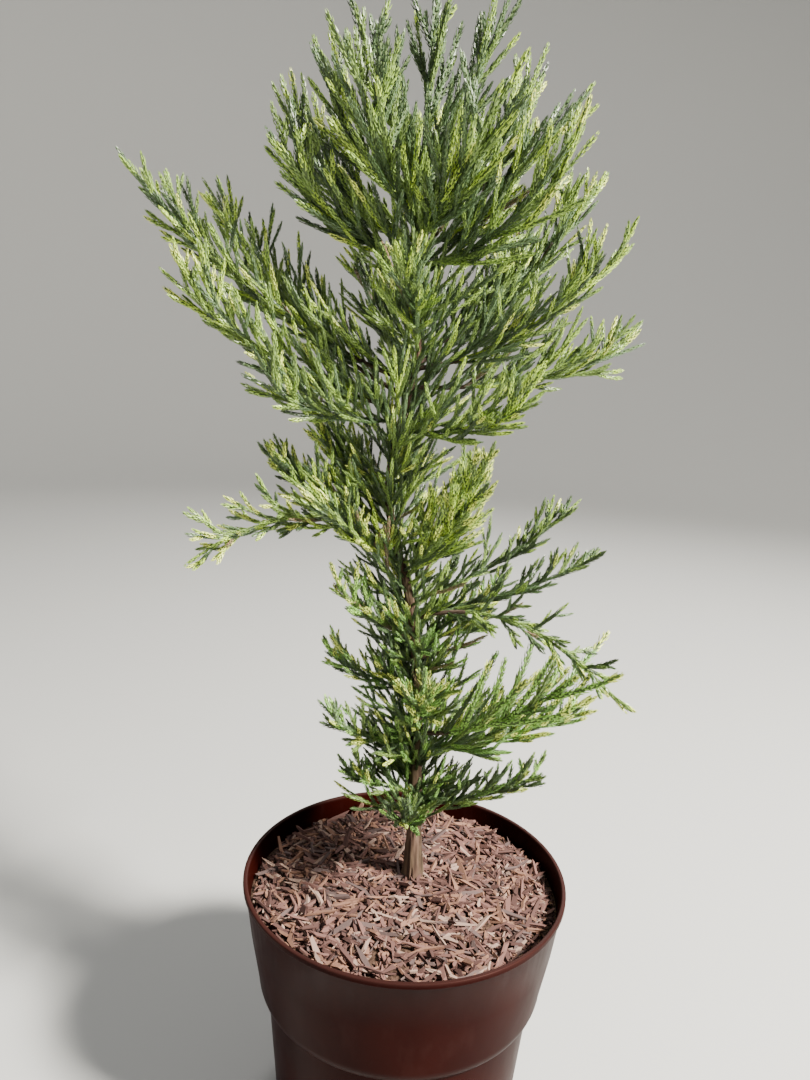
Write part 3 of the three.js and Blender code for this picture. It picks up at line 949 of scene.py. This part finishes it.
def growMass(mass, sprays):
    limb, path = mass["limb"], mass["path"]
    zone = zoneOf(limb["name"])
    sizes = {**zones[zone], **massSizes.get(limb["name"], {})}
    space = spaceOf(limb, sizes.get("margin", fine["margin"]))
    draw = drawer(fine["seed"] + mass["owner"])
    common = {"zone": zone, "name": limb["name"], "reach": limb["reach"]}
    addSpray(sprays, path, max(limb["bare"], fine["stemFirst"]), sizes, common)
    lift, liftLast = sizes.get("stemLift", (sizes["lift"], sizes["lift"]))
    rule = {
        "first": fine["boughFirst"] if limb["bare"] > 0 else fine["stemFirst"], "last": fine["stemLast"],
        "spacing": sizes["stemSpacing"], "longest": sizes["stemLongest"],
        "leave": sizes["leave"], "leaveSpread": sizes.get("stemLeaveSpread", fine["leaveSpread"]),
        "lift": lift, "liftLast": liftLast,
    }
    for own in [*mass["shoots"], *fineShoots(path, rule, draw, space)]:
        addBranch(sprays, own, sizes, common, draw, space)


def growSprigs(sprays):
    draw = drawer(sprigs["seed"])
    height = sprigs["first"]
    turn = 0
    while height < sprigs["last"]:
        zone = zoneAt(height)
        height += sprigs["spacing"][zone] * (0.5 + draw())
        turn += goldenAngle
        heading = (turn + fine["turnSpread"] * draw()) * degree
        rise = between(*sprigs["rise"][zone], draw()) * degree
        length = between(sprigs["shortest"], sprigs["longest"][zone], draw())
        level = math.cos(rise)
        direction = np.array([math.cos(heading) * level, math.sin(heading) * level, math.sin(rise)])
        path = shootPath(trunkAxis(height), direction, length)
        side = sprigs["halfWidth"] * np.array([1, 1, 2])
        space = (path["start"] - side, path["start"] + side)
        # sprigs low on the trunk and near its top get darker greens later, as painted shade
        name = "low_sprig" if height < sprigs["shadyBelow"] else "sprig"
        name = "top_sprig" if height > sprigs["duskyAbove"] else name
        common = {"zone": zone, "name": name, "reach": sprigs["reach"]}
        addBranch(sprays, path, zones[zone], common, draw, space)


def growSprays():
    sprays = []
    for mass in tree:
        growMass(mass, sprays)
    growSprigs(sprays)
    return sprays


sprays = growSprays()
print("sprays:", len(sprays), "length", round(sum(spray["path"]["length"] for spray in sprays) * mm), "m")


# Colours of the foliage, dealt out spray by spray, with painted shade near the trunk and painted light at
# the outside

# From deep to tip the greens run from dark to pale: partly the leaves' own range, partly painted shade
# (deep, blue) and painted highlight (bright, tip); dead is the brown of dead leaves
leafColours = {
    "deep": (0.030, 0.056, 0.018),
    "blue": (0.095, 0.155, 0.068),
    "mid": (0.145, 0.225, 0.048),
    "fresh": (0.235, 0.360, 0.060),
    "bright": (0.370, 0.520, 0.062),
    "tip": (0.600, 0.680, 0.130),
    "dead": (0.180, 0.120, 0.070),
}
zoneColours = {"low": {"fresh": (0.165, 0.325, 0.070), "bright": (0.260, 0.480, 0.085)}}
colourNames = list(leafColours)
colourShares = {   # near the trunk, and at the outside, in the order of the colours; the dark shares near the trunk are painted shade, the light ones at the outside painted light
    "crown": ((0.42, 0.24, 0.24, 0.095, 0, 0, 0.005), (0.09, 0.17, 0.28, 0.27, 0.19, 0, 0)),
    "arms": ((0.40, 0.22, 0.29, 0.08, 0, 0, 0.010), (0.11, 0.18, 0.34, 0.25, 0.12, 0, 0)),
    "waist": ((0.42, 0.14, 0.30, 0.11, 0.01, 0, 0.020), (0.16, 0.14, 0.32, 0.24, 0.12, 0, 0.02)),
    "low": ((0.42, 0.16, 0.30, 0.10, 0.01, 0, 0.010), (0.14, 0.16, 0.32, 0.26, 0.12, 0, 0)),
}
# Masses that differ, and the factors on their shares: the bright ones are painted sunlight, the shady and
# dusky ones painted shade; the bright ones have the outside's all through
shadings = {
    "bright": (("waist_right_tuft", "low_right", "low_right_mid"), (0.5, 0.5, 0.9, 1.3, 3.0, 1, 0)),
    "shady": (
        ("foot_front", "foot_right", "foot_left", "low_left_front", "low_sprig"),
        (2.0, 1.4, 1.0, 0.6, 0.2, 1, 1),
    ),
    "dusky": (
        ("crown_leader", "crown_leader_left", "crown_right_top", "top_sprig",
         "waist_right", "waist_right_arm", "waist_right_droop"),
        (4.0, 2.2, 1.0, 0.3, 0.05, 1, 1),
    ),
}
# Pale tips: partly the shoots' paler young growth, partly painted light, as they are fewer where shade is
# painted
tips = {
    "share": {"crown": 0.42, "arms": 0.45, "waist": 0.7, "low": 0.75},   # of the sprays, at the outside
    "innerShare": 0.4,   # of that, next to the trunk, where fewer pale tips are painted shade
    "darkShare": 0.4,   # of that, in a shady or dusky mass, where fewer pale tips are painted shade
    "steps": {"crown": 2, "arms": 2, "waist": 3, "low": 3},   # so many colours lighter
}
deal = {"seed": 23, "outerPower": 1.2}


def dealColours():
    dice = np.random.default_rng(deal["seed"])
    kinds = np.empty(len(sprays), int)
    pale = np.zeros(len(sprays), bool)
    for index, spray in enumerate(sprays):
        near, far = np.array(colourShares[spray["zone"]])
        # more dark greens near the trunk are painted shade, more light greens at the outside painted light
        shares = between(near, far, spray["outer"] ** deal["outerPower"])
        palest = tips["share"][spray["zone"]]
        # a bright mass gets painted sunlight, a shady or dusky one painted shade
        for shading, (masses, factors) in shadings.items():
            if spray["name"] in masses:
                shares = (far if shading == "bright" else shares) * factors
                palest *= 1 if shading == "bright" else tips["darkShare"]
        kinds[index] = dice.choice(len(shares), p=shares / shares.sum())
        pale[index] = dice.random() < palest * between(tips["innerShare"], 1, spray["outer"])
    return kinds, pale


sprayColours, paleTips = dealColours()


# Leaves: pointed scales in whorls of three, each a keeled awl of four faces

leaf = {
    "thicknessSeed": 3,
    "seed": 5,
    "paleSeed": 9,
    "thicknessJitter": 0.08,
    "length": (2.5, 0.44),   # so much, and this share of the shoot's thickness
    "pitch": 0.54,   # from whorl to whorl, as a share of the length
    "fewestWhorls": 2,
    "whorlPlace": (0.6, 0.25),   # in its own pitch, and how far leaves differ in it
    "width": 0.47,   # of the length
    "core": 0.33,   # radius of the shoot under the leaves, of its thickness
    "sunk": 0.16,   # how far the foot stands back, of the length
    "footOut": 0.78,   # how far the foot stands out, of the core
    "keelAlong": 0.2,   # of the length
    "keelOut": 0.3,   # of the core
    "keelHeight": 0.22,   # of the width
    "endLength": 6.5,   # the blunt end of a shoot
    "endShrink": 0.4,
    "endClose": 0.75,
    "endBack": 0.5,
    "turnJitter": 0.22,
    "lengthJitter": 0.12,
    "standJitter": 0.2,
    "paleLength": (8, 24),   # of a pale tip
}
leafFaces = [(2, 3, 0), (3, 2, 1), (1, 2, 0), (3, 1, 0)]   # of the points left, right, keel, tip
leafLook = {"specular": 0.48, "grain": (700, 3), "roughness": (0.45, 0.30, 0.52), "relief": (0.35, 0.4)}


def uneven(dice, share, count):   # factors about 1
    return 1 + share * dice.normal(0, 1, count).clip(-2, 2)


def sprayArrays():
    arrays = {}
    for key in ("start", "run", "bend", "length"):
        arrays[key] = np.array([spray["path"][key] for spray in sprays])
    for key in ("from", "thickness"):
        arrays[key] = np.array([spray[key] for spray in sprays])
    dice = np.random.default_rng(leaf["thicknessSeed"])
    arrays["thickness"] *= uneven(dice, leaf["thicknessJitter"], len(sprays))
    arrays["leaf"] = leaf["length"][0] + leaf["length"][1] * arrays["thickness"]
    arrays["spread"] = np.array([zones[spray["zone"]]["spread"] for spray in sprays])
    arrays["zone"] = np.array([list(zones).index(spray["zone"]) for spray in sprays])
    return arrays


def pathsOf(arrays, which):
    return {key: arrays[key][which] for key in ("start", "run", "bend")}


def whorlPlaces(arrays, dice):   # which spray a leaf is on, how far along, its turn, how near the end
    leafy = (1 - arrays["from"]) * arrays["length"]
    whorls = np.maximum(leaf["fewestWhorls"], (leafy / (arrays["leaf"] * leaf["pitch"])).astype(int))
    which = np.repeat(np.arange(len(whorls)), whorls * 3)
    order = np.arange(len(which)) - np.repeat(np.cumsum(whorls * 3) - whorls * 3, whorls * 3)
    whorl, place = order // 3, order % 3
    middle, width = leaf["whorlPlace"]
    share = (whorl + middle + width * (dice.random(len(which)) - 0.5)) / whorls[which]
    share = np.where(whorl == whorls[which] - 1, 1.0, np.minimum(share, 1))
    spin = dice.random(len(whorls))[which] * 2 * np.pi
    turn = spin + whorl * np.pi / 3 + place * 2 * np.pi / 3
    turn = turn + leaf["turnJitter"] * dice.normal(0, 1, len(which))
    alongs = between(arrays["from"][which], 1, share)
    return which, alongs[:, None], turn, (1 - share) * leafy[which]


def leafPoints(arrays):
    dice = np.random.default_rng(leaf["seed"])
    which, alongs, turn, left = whorlPlaces(arrays, dice)
    count = len(which)
    paths = pathsOf(arrays, which)
    tangent, across, over = squareTo(paths, alongs)
    out = across * np.cos(turn)[:, None] + over * np.sin(turn)[:, None]
    side = np.cross(tangent, out)
    ending = np.clip(1 - left / leaf["endLength"], 0, 1)
    length = arrays["leaf"][which] * (1 - leaf["endShrink"] * ending)
    length = length * uneven(dice, leaf["lengthJitter"], count)
    thick = arrays["thickness"][which]
    core = thick * leaf["core"] * (1 - leaf["endShrink"] * ending)
    stand = thick * arrays["spread"][which] * (1 - leaf["endClose"] * ending)
    stand = stand * uneven(dice, leaf["standJitter"], count)
    width = leaf["width"] * length
    at = pointAt(paths, alongs) - tangent * (leaf["endBack"] * length * ending)[:, None]
    foot = at - tangent * (leaf["sunk"] * length)[:, None] + out * (core * leaf["footOut"])[:, None]
    keelOut = core * leaf["keelOut"] + leaf["keelHeight"] * width
    points = np.empty((count, 4, 3))
    points[:, 0] = foot - side * (width / 2)[:, None]
    points[:, 1] = foot + side * (width / 2)[:, None]
    points[:, 2] = foot + tangent * (leaf["keelAlong"] * length)[:, None] + out * keelOut[:, None]
    points[:, 3] = at + tangent * length[:, None] + out * stand[:, None]
    return points, which, left


def buildLeaves(arrays):
    points, which, left = leafPoints(arrays)
    dice = np.random.default_rng(leaf["paleSeed"])
    paleLength = dice.uniform(*leaf["paleLength"], len(sprays))[which]
    kind = sprayColours[which]
    # pale tips, partly young growth and partly painted light, are made so many colours lighter
    pale = paleTips[which] & (left < paleLength) & (kind != colourNames.index("dead"))
    steps = np.array([tips["steps"][zone] for zone in zones])[arrays["zone"]][which]
    kind = np.where(pale, np.minimum(kind + steps, colourNames.index("tip")), kind)
    for zoneIndex, zone in enumerate(zones):
        nodes = ["foliage_" + limb["name"] for limb in limbs if zoneOf(limb["name"]) == zone]
        colours = {**leafColours, **zoneColours.get(zone, {})}
        for colourIndex, colour in enumerate(colourNames):
            own = points[(arrays["zone"][which] == zoneIndex) & (kind == colourIndex)]
            if len(own) == 0:
                continue
            faces = repeatFaces(leafFaces, 4, len(own))
            material = grainMaterial(f"leaf {zone} {colour}", colours[colour], leafLook)
            meshPiece(f"{zone}_leaves_{colour}", own.reshape(-1, 3), faces, material, nodes)
    print("leaves:", len(points), "of", 4 * len(points), "triangles")


# Twigs: the slim cores under the leaves

twig = {"sides": 3, "step": 15, "fewest": 2, "most": 12, "tipShare": 0.6, "endAlong": 0.98}
twigColour = (0.080, 0.125, 0.036)
twigLook = {"specular": 0.5, "grain": (500, 3), "roughness": (0.7, 0.55, 0.85), "relief": (0.5, 0.5)}


def twigPattern(count, sides):
    pattern = []
    for ring in range(count):
        for side in range(sides):
            low, lowNext = ring * sides + side, ring * sides + (side + 1) % sides
            pattern += [(low, lowNext, lowNext + sides), (low, lowNext + sides, low + sides)]
    last = count * sides
    for side in range(1, sides - 1):
        pattern += [(0, side + 1, side), (last, last + side, last + side + 1)]
    return pattern


def twigMesh(arrays, which):
    length = arrays["length"][which] * (1 - arrays["from"][which])
    steps = np.clip(np.round(length / twig["step"]), twig["fewest"], twig["most"]).astype(int)
    sides = twig["sides"]
    allPoints, allFaces, offset = [], [], 0
    for count in np.unique(steps):
        group = which[steps == count]
        rings = count + 1
        share = np.tile(np.linspace(0, twig["endAlong"], rings), len(group))
        flat = np.repeat(group, rings)
        alongs = between(arrays["from"][flat], 1, share)[:, None]
        paths = pathsOf(arrays, flat)
        tangent, across, over = squareTo(paths, alongs)
        radius = arrays["thickness"][flat] * leaf["core"] * (1 - (1 - twig["tipShare"]) * share)
        points = np.empty((len(flat), sides, 3))
        for side in range(sides):
            angle = side / sides * 2 * math.pi
            outward = across * math.cos(angle) + over * math.sin(angle)
            points[:, side] = pointAt(paths, alongs) + outward * radius[:, None]
        allPoints.append(points.reshape(-1, 3))
        allFaces.append(repeatFaces(twigPattern(count, sides), rings * sides, len(group)) + offset)
        offset += len(group) * rings * sides
    return np.concatenate(allPoints), np.concatenate(allFaces)


def buildTwigs(arrays):
    material = grainMaterial("twig skin", twigColour, twigLook)
    for zoneIndex, zone in enumerate(zones):
        points, faces = twigMesh(arrays, np.flatnonzero(arrays["zone"] == zoneIndex))
        meshPiece(zone + "_twigs", points, faces, material, [])


arrays = sprayArrays()
buildLeaves(arrays)
buildTwigs(arrays)
print("foliage done")


# Trunk with its bark in relief

bark = {
    "sides": 40,
    "step": 5,
    "footStep": 2.5,
    "fineUntil": 350,
    "sunk": 6,
    "relief": 0.16,   # of the radius, like the two after it
    "fibreRelief": 0.05,
    "splitDepth": 0.10,
    "plateLength": 90,
    "platesAround": 3.1,
    "fibreLength": 38,
    "fibresAround": 9,
    "creaseAngle": 50,
    "colour": (0.14, 0.09, 0.06),
    "roughness": 0.9,
    "specular": 0.2,
    "streaks": (240, 6, (1, 1, 0.12)),
    "streakColours": [
        (0.28, (0.022, 0.013, 0.011)), (0.5, (0.074, 0.046, 0.038)), (0.75, (0.160, 0.108, 0.088)),
    ],
    "streakRelief": (0.9, 1.2),
    "patches": (26, 4, (1, 1, 0.3)),
    "patchTints": [(0.38, (1.0, 0.80, 0.76)), (0.62, (0.80, 0.86, 0.62))],
    "young": (880, 1000),   # the leader turns green between these heights
    "green": (0.060, 0.095, 0.030, 1),
}


def trunkHeights(sizes):
    low = np.arange(bed["topHeight"] - sizes["sunk"], sizes["fineUntil"], sizes["footStep"])
    high = np.arange(low[-1] + sizes["footStep"], trunk["topHeight"], sizes["step"])
    return [*low, *high, trunk["topHeight"]]


def barkDepth(angle, height):   # long fibrous plates, split along the stem
    x, y = math.cos(angle), math.sin(angle)
    plates = noise.noise(Vector((x, y, height / bark["plateLength"])) * bark["platesAround"])
    around = bark["fibresAround"]
    fibres = noise.noise(Vector((x * around, y * around, height / bark["fibreLength"])))
    splits = abs(plates) ** 0.5
    return bark["relief"] * plates + bark["fibreRelief"] * fibres - bark["splitDepth"] * splits


def raiseBark(vertex):
    height = max(vertex.co.z / mm, bed["topHeight"])
    axis = trunkAxis(height)
    away = Vector((vertex.co.x - axis[0] * mm, vertex.co.y - axis[1] * mm, 0))
    angle = math.atan2(away.y, away.x)
    size = trunkRadius(height) + trunkFlare(height, angle)
    size *= 1 + barkDepth(angle, vertex.co.z / mm)
    away = away.normalized() * size * mm
    vertex.co.x = axis[0] * mm + away.x
    vertex.co.y = axis[1] * mm + away.y


def buildTrunk():
    heights = trunkHeights(bark)
    previous = trunkAxis(bed["topHeight"])
    previous[2] = heights[0]
    radius = trunkRadius(bed["topHeight"]) + trunk["flare"]
    piece = startRing(radius, previous, bark["sides"])
    for height in heights[1:]:
        centre = trunkAxis(max(height, bed["topHeight"]))
        centre[2] = height
        bpy.ops.mesh.extrude_region_move(TRANSFORM_OT_translate={"value": tuple((centre - previous) * mm)})
        previous = centre
    endShape()
    for vertex in piece.data.vertices:
        raiseBark(vertex)
    shadeByAngle(piece, bark["creaseAngle"])
    finishPiece(piece, "trunk_bark", barkMaterial(bark), ["trunk"])
    print("trunk done")


def barkMaterial(look):
    material, shader = newMaterial("bark", look["colour"], look["roughness"], look["specular"])
    streaks = objectNoise(material, *look["streaks"])
    base = colourRamp(material, streaks, look["streakColours"])
    tint = colourRamp(material, objectNoise(material, *look["patches"]), look["patchTints"])
    tinted = mixColours(material, 1.0, base, tint, "MULTIPLY")
    young = heightShare(material, *look["young"])
    feed(material, shader.inputs["Base Color"], mixColours(material, young, tinted, look["green"]))
    bump(material, shader, streaks, *look["streakRelief"])
    return material


buildTrunk()


# Boughs: the bare part of the limbs that show it

boughShape = {
    "points": 9,
    "slim": 0.8,
    "overlap": 1.05,
    "roundness": 3,
    "knots": 0.12,
    "knotsAlong": 9,
}
boughLook = {"specular": 0.25, "grain": (320, 5), "roughness": (0.85,), "relief": (0.7, 0.8)}
boughColours = [(0.35, (0.022, 0.014, 0.010)), (0.55, (0.065, 0.042, 0.030)), (0.75, (0.11, 0.085, 0.055))]


def buildBough(mass, material):
    limb, shape = mass["limb"], boughShape
    curve = bpy.data.curves.new("bough", "CURVE")
    curve.dimensions = "3D"
    curve.bevel_depth = mm
    curve.bevel_resolution = shape["roundness"]
    curve.use_fill_caps = True
    line = curve.splines.new("POLY")
    line.points.add(shape["points"] - 1)
    for index, point in enumerate(line.points):
        share = index / (shape["points"] - 1)
        place = pointAt(mass["path"], limb["bare"] * shape["overlap"] * share)
        point.co = (*(place * mm), 1)
        size = shape["slim"] * between(bough["rootRadius"], bough["tipRadius"], share)
        knots = noise.noise(Vector((share * shape["knotsAlong"], mass["owner"], 0)))
        point.radius = size * (1 + shape["knots"] * knots)
    selectOnly(newObject("bough", curve))
    bpy.ops.object.convert(target="MESH")
    piece = bpy.context.object
    shadeByAngle(piece, bark["creaseAngle"])
    finishPiece(piece, "limb_" + limb["name"], material, ["bough_" + limb["name"]])


def buildBoughs():
    material = grainMaterial("bough bark", (0.06, 0.04, 0.03), boughLook, boughColours)
    for mass in tree:
        if mass["limb"]["bare"] > 0:
            buildBough(mass, material)
    print("boughs done")


buildBoughs()
buildChips()


# Studio

studio = {
    "radius": 7500,
    "wallHeight": 5000,
    "curve": 3000,
    "curveParts": 16,
    "sides": 96,
    "creaseAngle": 40,
    "floorColour": (0.46, 0.46, 0.45),
    "skyColour": (0.86, 0.88, 0.90),
    "skyStrength": 0.36,
}
lamps = {   # name: (place in metres, aim, size, watts, colour)
    "key": ((2.4, -1.3, 2.9), (0, 0, 0.7), 0.6, 880, (1.0, 0.96, 0.87)),
    "fill": ((-2.6, -1.8, 1.6), (0, 0, 0.6), 2.4, 12, (0.90, 0.95, 1.0)),
    "back": ((0.8, 2.8, 2.4), (0, 0, 0.9), 1.6, 60, (1.0, 0.98, 0.94)),
}


def buildBowl(sizes):   # a round floor, turned up into a wall on all sides
    wall, top, curve = sizes["radius"], sizes["wallHeight"], sizes["curve"]
    arc = arcPoints((wall - curve, curve), (curve, curve), 0, -90, sizes["curveParts"])
    floor = startRing(wall, (0, 0, top), sizes["sides"], "NOTHING", "EDGE")
    floor.name = "floor"
    drawOut([(wall, top), (wall, curve), *arc[1:]], bpy.ops.mesh.extrude_edges_move)
    bpy.ops.mesh.edge_face_add()
    endShape(inside=True)
    shadeByAngle(floor, sizes["creaseAngle"])
    return floor


def buildStudio():
    floor = buildBowl(studio)
    material, shader = newMaterial("studio floor", studio["floorColour"], 0.8)
    floor.data.materials.append(material)
    world = bpy.data.worlds.new("studio")
    bpy.context.scene.world = world
    world.use_nodes = True
    backdrop = world.node_tree.nodes["Background"]
    backdrop.inputs["Color"].default_value = (*studio["skyColour"], 1)
    backdrop.inputs["Strength"].default_value = studio["skyStrength"]
    for name, (place, aim, size, watts, colour) in lamps.items():
        data = bpy.data.lights.new(name, "AREA")
        data.size = size
        data.energy = watts
        data.color = colour
        lamp = newObject(name, data)
        lamp.location = place
        lamp.rotation_euler = (Vector(aim) - Vector(place)).to_track_quat("-Z", "Y").to_euler()
    print("studio done")


buildStudio()
